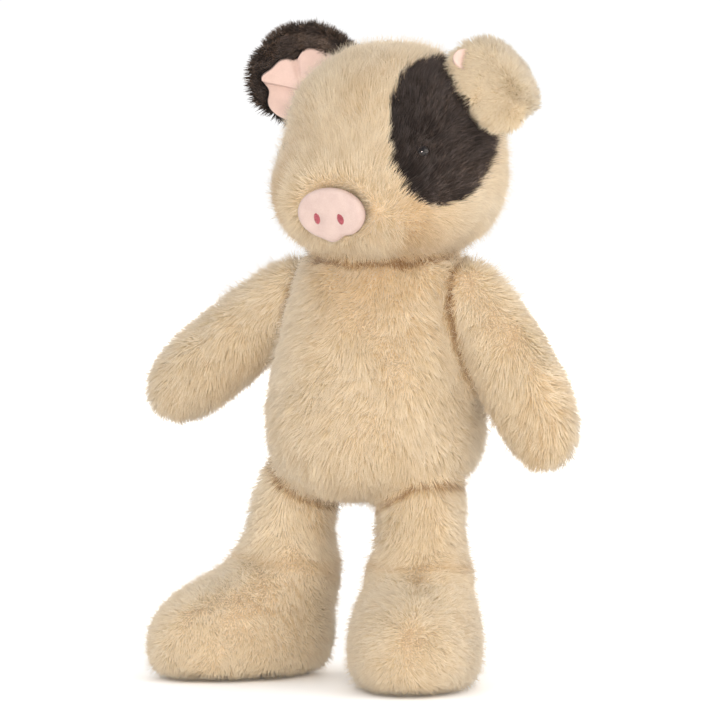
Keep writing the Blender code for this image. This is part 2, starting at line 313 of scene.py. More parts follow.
def marked_colour(tree, along, light_stops, dark_stops):
    """The fabric's colour by the piece's marking: cream, or charcoal where dark, with the alpha's blush and
    painted crease shade multiplied into the cream.
    """
    tone = tree.nodes.new("ShaderNodeAttribute")
    tone.attribute_name = "tone"
    parts = tree.nodes.new("ShaderNodeSeparateColor")
    tree.links.new(tone.outputs["Color"], parts.inputs["Color"])
    place, shade, dark = (parts.outputs[i] for i in range(3))
    cream = colour_ramp(tree, place if along else shade, light_stops)
    # Painted shade: the alpha turns the cream brown in creases and along the muzzle's seam; it also holds a
    # random blush.
    blush_and_crease_shade = ((0.0, (1.0, 1.0, 1.0)), (0.5, (0.80, 0.67, 0.53)), (1.0, (0.32, 0.21, 0.13)))
    cream = mixed(tree, 1.0, cream, colour_ramp(tree, tone.outputs["Alpha"], blush_and_crease_shade), "MULTIPLY")
    patchy = colour_ramp(tree, noise(tree, 34.0), ((0.30, (0.90, 0.86, 0.80)), (0.72, (1.0, 1.0, 1.0))))
    cream = mixed(tree, 1.0, cream, patchy, "MULTIPLY")
    charcoal = colour_ramp(tree, place if along else shade, dark_stops)
    depth = colour_ramp(tree, shade, ((0.0, (0.40, 0.38, 0.37)), (1.0, (1.0, 1.0, 1.0))))
    charcoal = mixed(tree, 1.0, charcoal, depth, "MULTIPLY")
    each = colour_ramp(tree, shade, ((0.0, (0.79, 0.74, 0.68)), (1.0, (1.0, 1.0, 1.0))))
    return mixed(tree, 1.0, mixed(tree, dark, cream, charcoal), each, "MULTIPLY")


def coat_material(name, sheen, specular):
    """The pile: paler towards a tuft's tip, with a little light passing through it."""
    made, tree, shader = material(name, 0.80, sheen, (1.0, 0.86, 0.68))
    shader.inputs["Specular IOR Level"].default_value = specular
    shader.inputs["Subsurface Weight"].default_value = 0.35
    shader.inputs["Subsurface Radius"].default_value = (1.0, 0.7, 0.45)
    shader.inputs["Subsurface Scale"].default_value = 0.003
    # Darker towards the root: partly the fabric's own tipped colour, partly painted shade deep in the pile.
    light = ((0.0, (0.56, 0.38, 0.22)), (0.40, (0.87, 0.67, 0.43)), (1.0, (0.96, 0.81, 0.58)))
    dark = ((0.0, (0.009, 0.007, 0.007)), (0.5, (0.019, 0.015, 0.0145)), (1.0, (0.050, 0.041, 0.039)))
    tree.links.new(marked_colour(tree, True, light, dark), shader.inputs["Base Color"])
    return made


def skin_material():
    """The fabric's knitted backing, which shows only between the tufts."""
    made, tree, shader = material("fur_backing", 0.92)
    light = ((0.0, (0.62, 0.49, 0.35)), (1.0, (0.68, 0.54, 0.39)))
    dark = ((0.0, (0.016, 0.013, 0.012)), (1.0, (0.022, 0.018, 0.017)))
    colour = marked_colour(tree, False, light, dark)
    knit = noise(tree, 1400.0, 2.0)
    tree.links.new(mixed(tree, 0.35, colour, knit, "OVERLAY"), shader.inputs["Base Color"])
    bump(tree, shader, knit, 0.5, 0.0004)
    return made


def velour_material(name, deep, pale, sheen):
    """Short smooth velour: a fine nap, faint mottling and a soft sheen."""
    made, tree, shader = material(name, 0.85, sheen, (1.0, 0.90, 0.88))
    shader.inputs["Specular IOR Level"].default_value = 0.2
    nap = noise(tree, 2600.0, 2.0, 0.6)
    mottled = colour_ramp(tree, noise(tree, 130.0, 4.0), ((0.34, deep), (0.66, pale)))
    speck = colour_ramp(tree, nap, ((0.30, (0.90, 0.87, 0.86)), (0.70, (1.0, 1.0, 1.0))))
    tree.links.new(mixed(tree, 1.0, mottled, speck, "MULTIPLY"), shader.inputs["Base Color"])
    bump(tree, shader, nap, 0.35, 0.00025)
    return made


def thread_material():
    """Embroidery thread, flecked along its strands."""
    made, tree, shader = material("embroidery_thread", 0.42, 0.2, (1.0, 0.7, 0.7))
    flecks = ((0.35, (0.22, 0.030, 0.045)), (0.70, (0.36, 0.085, 0.11)))
    tree.links.new(colour_ramp(tree, noise(tree, 900.0, 3.0), flecks), shader.inputs["Base Color"])
    bump(tree, shader, noise(tree, 4200.0), 0.4, 0.00012)
    return made


def eye_material():
    """Black plastic, with faint scuffs in its gloss."""
    made, tree, shader = material("eye_gloss", 0.06)
    shader.inputs["Specular IOR Level"].default_value = 0.55
    blacks = ((0.3, (0.004, 0.004, 0.005)), (0.7, (0.012, 0.011, 0.012)))
    tree.links.new(colour_ramp(tree, noise(tree, 420.0), blacks), shader.inputs["Base Color"])
    scuffs = ((0.45, (0.025, 0.025, 0.025)), (0.75, (0.06, 0.06, 0.06)))
    tree.links.new(colour_ramp(tree, noise(tree, 900.0, 4.0), scuffs), shader.inputs["Roughness"])
    return made


# ------------------------ meshes

def mesh_object(name, points, faces, look):
    """A smooth mesh from an array of points and an array of equal faces."""
    mesh = bpy.data.meshes.new(name)
    mesh.vertices.add(len(points))
    mesh.vertices.foreach_set("co", np.asarray(points, np.float32).ravel())
    mesh.loops.add(faces.size)
    mesh.loops.foreach_set("vertex_index", np.asarray(faces, np.int32).ravel())
    mesh.polygons.add(len(faces))
    mesh.polygons.foreach_set("loop_start", np.arange(0, faces.size, faces.shape[1], dtype=np.int32))
    mesh.polygons.foreach_set("use_smooth", np.ones(len(faces), bool))
    mesh.update(calc_edges=True)
    mesh.materials.append(look)
    made = bpy.data.objects.new(name, mesh)
    bpy.context.scene.collection.objects.link(made)
    return made


def read(items, key, width, kind=np.float32):
    """One value of each of a mesh's items, as rows of an array."""
    values = np.empty(len(items) * width, kind)
    items.foreach_get(key, values)
    return values.reshape(-1, width)


def halved(quads):
    """Two triangles for each quad, or the corner values that go with them."""
    return np.concatenate([quads[:, (0, 1, 2)], quads[:, (0, 2, 3)]])


def closed_loft(name, rings, look):
    """A closed mesh through rings of equal count, (rings, count, 3), its ends drawn to a point."""
    rings = np.asarray(rings, float)
    rows, count = rings.shape[:2]
    points = np.concatenate([rings.reshape(-1, 3), rings[:1].mean(1), rings[-1:].mean(1)])
    i, j = np.meshgrid(np.arange(rows - 1), np.arange(count), indexing="ij")
    k = (j + 1) % count
    here, there = i * count, (i + 1) * count
    sides = np.stack([here + j, here + k, there + k, there + j], -1).reshape(-1, 4)
    ring = np.arange(count)
    after = (ring + 1) % count
    low = np.stack([np.full(count, rows * count), after, ring], -1)
    last = (rows - 1) * count
    high = np.stack([np.full(count, rows * count + 1), last + ring, last + after], -1)
    tris = np.concatenate([halved(sides), low, high])
    return mesh_object(name, points, outward(points, tris), look)


def outward(points, tris):
    """The triangles, turned if the closed mesh they make is inside out."""
    a, b, c = (points[tris[:, i]] for i in range(3))
    volume = (np.cross(a, b) * c).sum()
    return tris if volume > 0 else tris[:, ::-1]


def set_tone(made, tones):
    """The piece's marking: place along the tuft, shade, darkness, and as alpha the blush and the painted
    shade of the creases and the muzzle's seam.
    """
    attribute = made.data.attributes.new("tone", "FLOAT_COLOR", "POINT")
    attribute.data.foreach_set("color", np.asarray(tones, np.float32).ravel())


def unwrapped(made):
    """Unwraps a piece by its own shape, and returns each corner's place on the unwrap."""
    bpy.ops.object.select_all(action="DESELECT")
    made.select_set(True)
    bpy.context.view_layer.objects.active = made
    made.data.uv_layers.new(name="OFBake")
    bpy.ops.object.mode_set(mode="EDIT")
    bpy.ops.mesh.select_all(action="SELECT")
    bpy.ops.uv.smart_project(angle_limit=radians(66), island_margin=0.004)
    bpy.ops.object.mode_set(mode="OBJECT")
    return read(made.data.uv_layers["OFBake"].data, "uv", 2)


# ------------------------ the flesh as distances

class Grid:
    """A box of cells round the toy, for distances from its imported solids."""

    def __init__(self, box):
        low, high = (np.array(c) for c in box)
        self.low = low - MARGIN
        self.shape = tuple(int(n) for n in np.ceil((high - low + 2 * MARGIN) / CELL))
        self.spacing = openvdb.createLinearTransform(voxelSize=CELL)

    def distances(self, points, triangles):
        """Signed distances from a closed mesh, less than 0 inside."""
        level = openvdb.FloatGrid.createLevelSetFromPolygons(
            np.asarray(points - self.low, np.float32),
            triangles=np.asarray(triangles, np.uint32),
            transform=self.spacing,
            halfWidth=BAND_CELLS,
        )
        values = np.empty(self.shape, np.float32)
        level.copyToArray(values)
        return values

    def surface(self, values, level):
        """The points and quads of the surface at a level."""
        grid = openvdb.FloatGrid(float(values.max()))
        grid.copyFromArray(np.ascontiguousarray(values, np.float32))
        grid.transform = self.spacing
        points, quads = grid.convertToQuads(isovalue=level)
        return points.astype(float) + self.low, quads.astype(np.int64)

    def centres(self):
        """Every cell's own place."""
        axes = [self.low[i] + CELL * np.arange(self.shape[i]) for i in range(3)]
        return np.stack(np.meshgrid(*axes, indexing="ij"), -1)

    def sample(self, values, points):
        """A grid's values at points, smoothly between its cells."""
        place = np.clip((points - self.low) / CELL, 0, np.array(self.shape) - 1.001)
        base = place.astype(int)
        part = place - base
        total = 0
        for corner in np.ndindex(2, 2, 2):
            step = np.array(corner)
            share = np.where(step, part, 1 - part).prod(1)
            i, j, k = (base + step).T
            value = values[i, j, k]
            total = total + (value * share if value.ndim == 1 else value * share[:, None])
        return total


def node_mesh(node):
    """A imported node's points and triangles."""
    mesh = node.data
    mesh.calc_loop_triangles()
    triangles = read(mesh.loop_triangles, "vertices", 3, np.int32)
    return read(mesh.vertices, "co", 3).astype(float), triangles


def blurred(values, times):
    """A grid's values, smoothed over neighbouring cells."""
    for _ in range(times):
        for axis in range(3):
            padded = np.pad(values, [(1, 1) if i == axis else (0, 0) for i in range(3)], mode="edge")
            size = values.shape[axis]
            first, middle, last = (np.take(padded, range(i, i + size), axis) for i in range(3))
            values = (first + 2 * middle + last) / 4
    return values


def joined(apart):
    """The solids' distances as one, with a soft join where they meet, softest at the ankles."""
    total = apart[0]
    for number in range(1, len(FLESH)):
        soft = ANKLE_JOIN if FLESH[number].startswith("foot") else JOIN
        near = np.maximum(1 - np.abs(total - apart[number]) / soft, 0)
        total = np.minimum(total, apart[number]) - near * near * soft / 4
    return total


def pile_depth(points):
    """How deep the pile is at each point: least on the face, less on the feet and head."""
    z = points[..., 2]
    depth = BODY_PILE + (HEAD_PILE - BODY_PILE) * ramp(NECK_Z - 0.008, NECK_Z + 0.008, z)
    depth = depth + (FOOT_PILE - BODY_PILE) * (1 - ramp(ANKLE_Z - 0.01, ANKLE_Z + 0.01, z))
    from_snout = np.linalg.norm(points - SNOUT_CENTRE, axis=-1)
    depth = depth - (HEAD_PILE - FACE_PILE) * (1 - ramp(0.018, 0.050, from_snout))
    return depth


# ------------------------ markings

def head_angles(points):
    """Azimuth from straight ahead, and rise, about the head's centre."""
    way = unit((points - np.array(HEAD_CENTRE)) / HEAD_HALF)
    return np.arctan2(way[:, 0], -way[:, 1]), np.arcsin(np.clip(way[:, 2], -1, 1))


def patch_reach(points):
    """0 at the middle of the dark patch, 1 on its edge."""
    azimuth, rise = head_angles(points)
    up = rise - PATCH_RISE
    across = (azimuth - PATCH_AZIMUTH) * np.cos(rise) - PATCH_LEAN * up
    reach = np.hypot(across / PATCH_HALF_WIDE, up / PATCH_HALF_TALL)
    return np.where(points[:, 2] > NECK_Z, reach, NOWHERE_NEAR)


def darkness(points):
    """1 on the dark patch and 0 on the cream, with a narrow uneven edge."""
    edge = patch_reach(points) + 0.015 * waves(points, 0.006, 11)
    return 1 - ramp(0.985, 1.015, edge)


def muzzle_seam(points, outer=0.0045):
    """1 along the seam where the muzzle meets the cheeks, fading to 0 beside it and over the brow."""
    away = points - SNOUT_CENTRE
    past = np.linalg.norm(away, axis=1) - MUZZLE_REACH
    ring = np.exp(-((past / np.where(past > 0, outer, 0.0045)) ** 2))
    return ring * (1 - ramp(0.010, 0.034, away[:, 2]))


# ------------------------ the lie of the pile

def face_lie(points, normals, down):
    """The pile runs away from the snout, up the brow, and further off back over the head."""
    away = points - SNOUT_CENTRE
    reach = np.linalg.norm(away, axis=1)
    near = 1 - ramp(0.020, 0.055, reach)
    far = ramp(0.060, 0.105, reach)
    away = unit(tangent(away, normals))
    front = 1 - ramp(-0.2, 0.5, normals[:, 1])
    above = ramp(-0.010, 0.012, points[:, 2] - SNOUT_CENTRE[2])
    rise = (front * above)[:, None]
    back = tangent(np.tile((0.0, 1.0, 0.0), (len(points), 1)), normals)
    lie = away * ((0.75 + 0.35 * near) * (1 - 0.8 * far))[:, None] + back * (0.4 * far)[:, None]
    lie = lie + down * (0.45 - 1.30 * rise + 0.65 * far[:, None])
    # Right beside the pad it leans over the pad's edge.
    by_pad = 1 - ramp(1.00, 1.30, snout_share(points))
    return lie + (-0.35 * away - lie) * by_pad[:, None]


def foot_lie(points, normals, down):
    """The pile parts along the top of each foot, and runs to the toes, outwards and down."""
    left = points[:, 0] > LEGS_MIDDLE_X
    turn = np.where(left, TOE_OUT["left"], -TOE_OUT["right"])
    axis = LEGS_MIDDLE_X + np.where(left, 0.5, -0.5) * LEG_APART
    beside = (points[:, 0] - axis) * np.cos(turn) + (points[:, 1] - LEG_Y) * np.sin(turn)
    apart = (2 * ramp(-0.009, 0.009, beside) - 1)[:, None]
    toes = tangent(np.stack([np.sin(turn), -np.cos(turn), 0 * turn], 1), normals)
    outside = tangent(np.stack([np.cos(turn), np.sin(turn), 0 * turn], 1), normals)
    return 0.45 * toes + 0.60 * apart * outside + 0.60 * down


def coat_lie(points, normals):
    """How far each tuft leans along the surface, as a share of how far it stands out."""
    z = points[:, 2]
    down = tangent(np.tile((0.0, 0.0, -1.0), (len(points), 1)), normals)
    lie = 1.10 * down
    on_head = ramp(NECK_Z - 0.004, NECK_Z + 0.006, z)[:, None]
    lie = lie + (face_lie(points, normals, down) - lie) * on_head
    # It parts to either side of an eye, which stays in view.
    for side in ("left", "right"):
        centre, across, up, out = eye_frame(side)
        local = (points - centre) / EYE_RADIUS
        beside = local @ across
        close = (1 - ramp(1.3, 2.4, np.hypot(beside, local @ up))) * (local @ out > EYE_BACK)
        lie = lie * (1 - 0.9 * close)[:, None] - across * (0.45 * close * np.sign(beside))[:, None]
    on_foot = (1 - ramp(0.045, 0.085, z))[:, None]
    lie = lie + (foot_lie(points, normals, down) - lie) * on_foot
    sway = np.stack([waves(points, 0.028, 21 + i) + 0.5 * waves(points, 0.008, 31 + i) for i in range(3)], 1)
    lie = lie + tangent(0.24 * sway, normals)
    lean = np.maximum(np.linalg.norm(lie, axis=1, keepdims=True), 0.01)
    return lie * np.maximum(LEAST_LEAN / lean, 1)


# ------------------------ tufts

def scatter(points, faces, places, weights, count, rng):
    """Roots spread evenly over triangles, by weight: root, unwrap place and triangle of each."""
    a, b, c = (points[faces[:, i]] for i in range(3))
    size = np.linalg.norm(np.cross(b - a, c - a), axis=1) * weights
    edges = np.cumsum(size)
    at = (np.arange(count) + rng.random(count)) / count * edges[-1]
    which = np.minimum(np.searchsorted(edges, at), len(faces) - 1)
    u, v = rng.random((2, count, 1))
    u, v = np.where(u + v > 1, 1 - u, u), np.where(u + v > 1, 1 - v, v)
    mix = lambda p: p[0][which] * (1 - u - v) + p[1][which] * u + p[2][which] * v
    return mix((a, b, c)), mix([places[:, i] for i in range(3)]), which


def gathered(roots, tips, share, strength, rng):
    """The tips, drawn towards the middles of small locks."""
    seeds = rng.choice(len(roots), max(int(len(roots) * share), 1), replace=False)
    tree = KDTree(len(seeds))
    for i, place in enumerate(roots[seeds]):
        tree.insert(place, i)
    tree.balance()
    nearest = np.array([tree.find(place)[1] for place in roots])
    pull = (strength * (0.05 + 0.30 * rng.random(len(seeds)))[nearest])[:, None]
    lock = tips[seeds] - roots[seeds]
    return tips + pull * (roots[seeds][nearest] + lock[nearest] - tips), rng.random(len(seeds))[nearest]


def tuft_mesh(name, roots, normals, tips, widths, places, tones, look, rng):
    """Tufts as thin closed solids, each shaded mostly as the skin under it."""
    along = unit(tips - roots)
    side = unit(np.cross(along, unit(rng.normal(size=roots.shape)) + 0.6 * normals))
    face = np.cross(side, along)
    foot = roots - normals * FOOT_DEPTH
    corners = (side * 0.5 - face * 0.14, -side * 0.5 - face * 0.14, face * 0.28)
    points = np.stack([foot + 1.5 * widths[:, None] * corner for corner in corners] + [tips], 1)
    first = 4 * np.arange(len(roots))
    faces = (TUFT_FACES[None] + first[:, None, None]).reshape(-1, 3)
    made = mesh_object(name, points.reshape(-1, 3), faces, look)
    shades = np.repeat(tones[:, None, :], 4, axis=1)
    shades[:, :, 0] = (0.0, 0.0, 0.0, 1.0)
    set_tone(made, shades.reshape(-1, 4))
    patch = PATCH_UV * np.array(((-0.3, -0.4), (0.3, -0.4), (0.0, -0.3), (0.0, 0.5)))
    patches = (places[:, None, :] + patch)[:, TUFT_FACES].reshape(-1)
    made.data.uv_layers.new(name="OFBake").data.foreach_set("uv", patches.astype(np.float32))
    leans = np.stack((side, -side, face, along), 1)
    soft = unit(normals[:, None, :] + SIDE_LIGHT * leans).reshape(-1, 3)
    made.data.normals_split_custom_set_from_vertices(soft.astype(np.float32))
    return made


# ------------------------ the body

def eye_frame(side):
    """An eye's middle, and the ways across it, up it and out of it."""
    low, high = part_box("eye_" + side)
    centre = np.array((low + high) / 2)
    out = unit(centre - np.array(HEAD_CENTRE))
    across = unit(np.cross(out, (0, 0, 1.0)))
    return centre, across, np.cross(across, out), out


def make_skin(nodes, look):
    """The skin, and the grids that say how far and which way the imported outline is."""
    grid = Grid(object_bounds())
    meshes = {name: node_mesh(nodes[name]) for name in FLESH}
    apart = np.stack([grid.distances(*meshes[name]) for name in FLESH])
    for side in ("left", "right"):
        pit = np.linalg.norm(grid.centres() - eye_frame(side)[0], axis=-1) - EYE_RADIUS - EYE_SUNK
        apart[0] = np.minimum(apart[0], pit)
    points, quads = grid.surface(joined(apart), SEAM_LEVEL)
    whole = blurred(grid.distances(points, outward(points, halved(quads))) + SEAM_LEVEL, 2)
    outwards = np.stack(np.gradient(whole, CELL), -1)
    points, quads = grid.surface(whole + pile_depth(grid.centres()), 0.0)
    triangles = halved(quads)
    if (outward(points, triangles) != triangles).any():
        quads = quads[:, ::-1]
    skin = mesh_object("skin", points, quads, look)
    return skin, points, quads, grid, whole, outwards, apart


def snout_share(points):
    """How far out each point is in the snout's outline, 1 at its edge, where it isn't far behind it."""
    local = points - SNOUT_CENTRE
    across = local[:, 0] / SNOUT_HALF_WIDTH
    rise = local @ SNOUT_UP / SNOUT_HALF_HEIGHT
    return np.where(local @ SNOUT_OUT > -0.022, np.hypot(across, rise), NOWHERE_NEAR)


def outside_openings(points):
    """Whether each point may carry a tuft, so isn't under the snout pad or in front of an eye."""
    keep = snout_share(points) > SNOUT_BARE
    for side in ("left", "right"):
        centre, across, up, out = eye_frame(side)
        local = (points - centre) / EYE_RADIUS
        beside = np.hypot(local @ across / EYE_CLEAR[side][0], local @ up / EYE_CLEAR[side][1])
        keep &= (beside > 1) | (local @ out < EYE_BACK)
    return keep


def coat_tones(roots, tips, lock, under, reach, rng):
    """Each tuft's marking and painted shade. Its alpha is a brown painted shade, deepest in the creases where
    two solids are as near, plus a random blush.
    """
    on_head = ramp(NECK_Z - 0.01, NECK_Z + 0.01, roots[:, 2])
    tones = np.zeros((len(roots), 4))
    shade = 0.55 * rng.random(len(roots)) + 0.45 * lock - 0.25 * under
    # Painted light: the legs and feet on the toy's right side are paler, standing in for light that falls on
    # them.
    shade = shade + 0.40 * (1 - ramp(0.080, 0.135, roots[:, 2])) * (roots[:, 0] < LEGS_MIDDLE_X)
    shade = shade + 0.10 * ramp(0.24, 0.30, roots[:, 2])
    tones[:, 1] = np.clip(0.5 + (shade - 0.5) * (1 + 0.8 * on_head), 0, 1)
    tones[:, 2] = darkness(roots + 0.65 * (tips - roots))
    order = np.argsort(reach, 1)[:, :2]
    first, second = np.take_along_axis(reach, order, 1).T
    ankle = order.min(1) >= FLESH.index("leg_left")
    # Painted shade: browner fur in the creases where two solids meet, weaker at the ankles.
    crease_shade = (1 - ramp(0.0, 0.008, second - first)) * np.where(ankle, 0.30, 1.0)
    blush = ramp(0.4, 1.7, waves(roots, 0.045, 61)) * ramp(-0.6, 1.4, waves(roots, 0.004, 62))
    # The muzzle's seam adds a ring of painted shade where the muzzle's dome meets the cheek.
    tones[:, 3] = np.clip(0.95 * crease_shade + 0.30 * blush + 0.38 * muzzle_seam(roots, 0.016), 0, 1)
    return tones


def coat_shares(roots, nearest, is_dark):
    """Which tufts make each piece: by solid and colour, and in turn round it if there are many."""
    for number, name in enumerate(FLESH):
        for dark in (False, True):
            mine = np.flatnonzero((nearest == number) & (is_dark == dark))
            if not len(mine):
                continue
            turn = np.arctan2(*(roots[mine, :2] - roots[mine, :2].mean(0)).T[::-1])
            mine = mine[np.argsort(turn, kind="stable")]
            parts = -(-len(mine) // TUFTS_A_PIECE)
            for part, chosen in enumerate(np.array_split(mine, parts)):
                label = ("coat_dark_" if dark else "coat_") + name + ("_%d" % (part + 1) if parts > 1 else "")
                yield label, dark, chosen


def make_body(nodes, skin_look, coat_looks, rng):
    """The body's one skin, and its coat in pieces."""
    skin, points, quads, grid, whole, outwards, apart = make_skin(nodes, skin_look)
    places = halved(unwrapped(skin).reshape(-1, 4, 2))
    faces = halved(quads)
    tones = np.zeros((len(points), 4))
    tones[:, 1] = 0.5 + 0.2 * waves(points, 0.004, 3)
    tones[:, 2] = darkness(points)
    set_tone(skin, tones)

    # More tufts on the head and feet, and fewer on the soles.
    z = points[faces].mean(1)[:, 2]
    weights = 0.95 + 0.35 * ramp(NECK_Z - 0.01, NECK_Z + 0.01, z)
    weights = weights + 0.40 * (1 - ramp(0.060, 0.085, z))
    weights = weights * (1 - 0.5 * (1 - ramp(0.004, 0.012, z)))
    count = BODY_TUFTS // 1
    roots, root_places, _ = scatter(points, faces, places, weights, count, rng)
    keep = outside_openings(roots)
    roots, root_places = roots[keep], root_places[keep]
    count = len(roots)
    normals = unit(grid.sample(outwards, roots))
    height = -grid.sample(whole, roots)
    height = height * (0.93 + 0.16 * rng.random(count) + 0.06 * waves(roots, 0.007, 5))
    kind = rng.random(count)
    under, stray = kind < UNDER_SHARE, kind > 1 - STRAY_SHARE
    by_kind = np.where(under, UNDER_HEIGHT, np.where(stray, STRAY_HEIGHT, PLAIN_HEIGHT))
    height = height * by_kind * (1 - 0.30 * muzzle_seam(roots))
    on_head = ramp(NECK_Z - 0.01, NECK_Z + 0.01, roots[:, 2])
    from_snout = np.linalg.norm(roots - SNOUT_CENTRE, axis=1)
    on_muzzle = 1 - ramp(MUZZLE_REACH - 0.005, MUZZLE_REACH, from_snout)
    loose = np.where(stray, 0.38, 0.16 + 0.07 * on_head + 0.07 * on_muzzle)[:, None]
    lean = coat_lie(roots, normals) * np.where(stray, STRAY_LEAN, 1.0)[:, None]
    lean = lean + loose * tangent(rng.normal(size=roots.shape), normals)
    tips = roots + (normals + lean) * height[:, None]
    bodily = ramp(0.055, 0.075, roots[:, 2]) * (1 - on_head)
    tips, lock = gathered(roots, tips, 0.03, 0.45 + 0.30 * bodily, rng)
    tips[:, 2] = np.maximum(tips[:, 2], 0.0004 + 0.0008 * rng.random(count))
    size = 0.00034 + 0.00012 * rng.random(count)
    size = size * (1 - 0.18 * on_head)
    by_kind = np.where(under, UNDER_WIDTH, np.where(stray, STRAY_WIDTH, 1.0))
    widths = size * by_kind * 1.0
    reach = np.stack([grid.sample(d, roots) for d in apart], 1)
    tones = coat_tones(roots, tips, lock, under, reach, rng)
    pieces = [
        tuft_mesh(
            label, roots[chosen], normals[chosen], tips[chosen], widths[chosen],
            root_places[chosen], tones[chosen], coat_looks[dark], rng,
        )
        for label, dark, chosen in coat_shares(roots, np.argsort(reach, 1)[:, 0], tones[:, 2] > 0.5)
    ]
    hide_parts(*FLESH)
    return skin, pieces


# ------------------------ ears

def fold_at(ear, share):
    """How far the ear has folded by a share of its length."""
    s = min(max((share - ear["fold_from"]) / (ear["fold_to"] - ear["fold_from"]), 0.0), 1.0)
    return Matrix.Rotation(ear["fold"] * s * s * (3 - 2 * s), 3, ear["hinge"])


def ear_frame(ear, share):
    """The point of the ear's middle line at a share of its length, and the way it runs there."""
    steps = 24
    point = ear["root"].copy()
    for i in range(steps):
        step = ear["length"] * share / steps
        point += fold_at(ear, share * (i + 0.5) / steps) @ ear["way"].normalized() * step
    return point, fold_at(ear, share) @ ear["way"].normalized()


def leaf_width(ear, share):
    """A leaf's width as a share of its widest: narrower at the root, rounded at the tip."""
    rise = min(share / ear["widest"], 1.0) ** 1.5
    past = max(share - ear["widest"], 0.0) / (1 - ear["widest"])
    return (ear["at_root"] + (1 - ear["at_root"]) * rise) * sqrt(max(1 - past ** 2.8, 0.0))


def leaf_ring(ear, share, half, front, thick, count):
    """A closed outline across the ear: its front face and then its rounded back."""
    middle, way = ear_frame(ear, share)
    across = ear["hinge"].normalized()
    facing = across.cross(way).normalized()
    ring = []
    for side, depth in ((1, 0.0), (-1, thick)):
        for i in range(count):
            t = side * cos(pi * (1 - (i + 0.5) / count))
            hollow = ear["cup"] * (half * t / ear["half_width"]) ** 2
            back = depth * sqrt(1 - t * t)
            ring.append(middle + across * half * t + facing * (front + hollow - back))
    return np.array(ring)


def lining_edge(ear, angle):
    """How far the lining reaches from its middle, by angle from the way the ear runs."""
    reach = 1.0
    for place, height, width in ear["lobes"]:
        reach += height * np.exp(-(((np.degrees(angle) - place) / width) ** 2))
    return ear["lining"][2] * reach


def lining_share(ear, along, across):
    """0 at the lining's middle and 1 on its edge, by place along and across the ear."""
    along, across = along - ear["lining"][0], across - ear["lining"][1]
    return np.hypot(along, across) / lining_edge(ear, np.arctan2(across, along))


def make_ear(side, skin_look, coat_look, rng):
    """One ear's backing and its pile."""
    ear = EARS[side]
    rows, count = 44, 18
    over = 1 + EAR_SKIN_RIM / ear["length"]
    shares = np.sin(np.linspace(0, pi / 2, rows))
    halves = [max(ear["half_width"] * leaf_width(ear, s), 0.0015) for s in shares]
    rings = [
        leaf_ring(ear, s * over, half, -LINING_THICK / 2, EAR_SKIN_THICK, count)
        for s, half in zip(shares, halves)
    ]
    skin = closed_loft("ear_skin_" + side, rings, skin_look)
    places = unwrapped(skin).reshape(-1, 3, 2)
    points = read(skin.data.vertices, "co", 3).astype(float)
    vertex_normals = read(skin.data.vertex_normals, "vector", 3)
    faces = read(skin.data.polygons, "vertices", 3, np.int32)
    set_tone(skin, np.tile((0.0, 0.5, ear["dark"], 0.0), (len(points), 1)))

    # The front face carries pile only round the lining.
    ring = np.arange(len(points)) % (2 * count)
    row = np.minimum(np.arange(len(points)) // (2 * count), rows - 1)
    across = np.cos(pi * (1 - (ring % count + 0.5) / count)) * np.array(halves)[row]
    covered = lining_share(ear, shares[row] * over * ear["length"], across) < LINING_BARE
    bare = (ring < count) & covered
    weights = 1.0 - bare[faces].mean(1).round()
    total = EAR_TUFTS // 1
    roots, root_places, which = scatter(points, faces, places, weights, total, rng)
    normals = unit(vertex_normals[faces[which]].mean(1) + 0.15 * rng.normal(size=roots.shape))
    way = np.array([ear_frame(ear, shares[r] * over)[1] for r in range(rows)])
    lie = tangent(way[row[faces[which, 0]]], normals)
    sway = np.stack([waves(roots, 0.014, 41 + i) for i in range(3)], 1)
    height = EAR_PILE * (0.85 + 0.25 * rng.random(total))
    height = height * np.where((ring < count)[faces[which, 0]], 0.75, 1.0)
    lean = ear["lean"] * lie + tangent(0.16 * sway + 0.12 * rng.normal(size=roots.shape), normals)
    tips = roots + (normals + lean) * height[:, None]
    tips, lock = gathered(roots, tips, 0.06, 1.0, rng)
    stray = rng.random(total) < STRAY_SHARE
    widths = (0.00055 + 0.0002 * rng.random(total)) * np.where(stray, STRAY_WIDTH, 1.0)
    widths = widths * 1.0
    tones = np.zeros((total, 4))
    tones[:, 1] = 0.55 * rng.random(total) + 0.45 * lock
    tones[:, 2] = ear["dark"]
    coat = tuft_mesh("coat_ear_" + side, roots, normals, tips, widths, root_places, tones, coat_look, rng)
    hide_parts("ear_" + side)
    return skin, coat


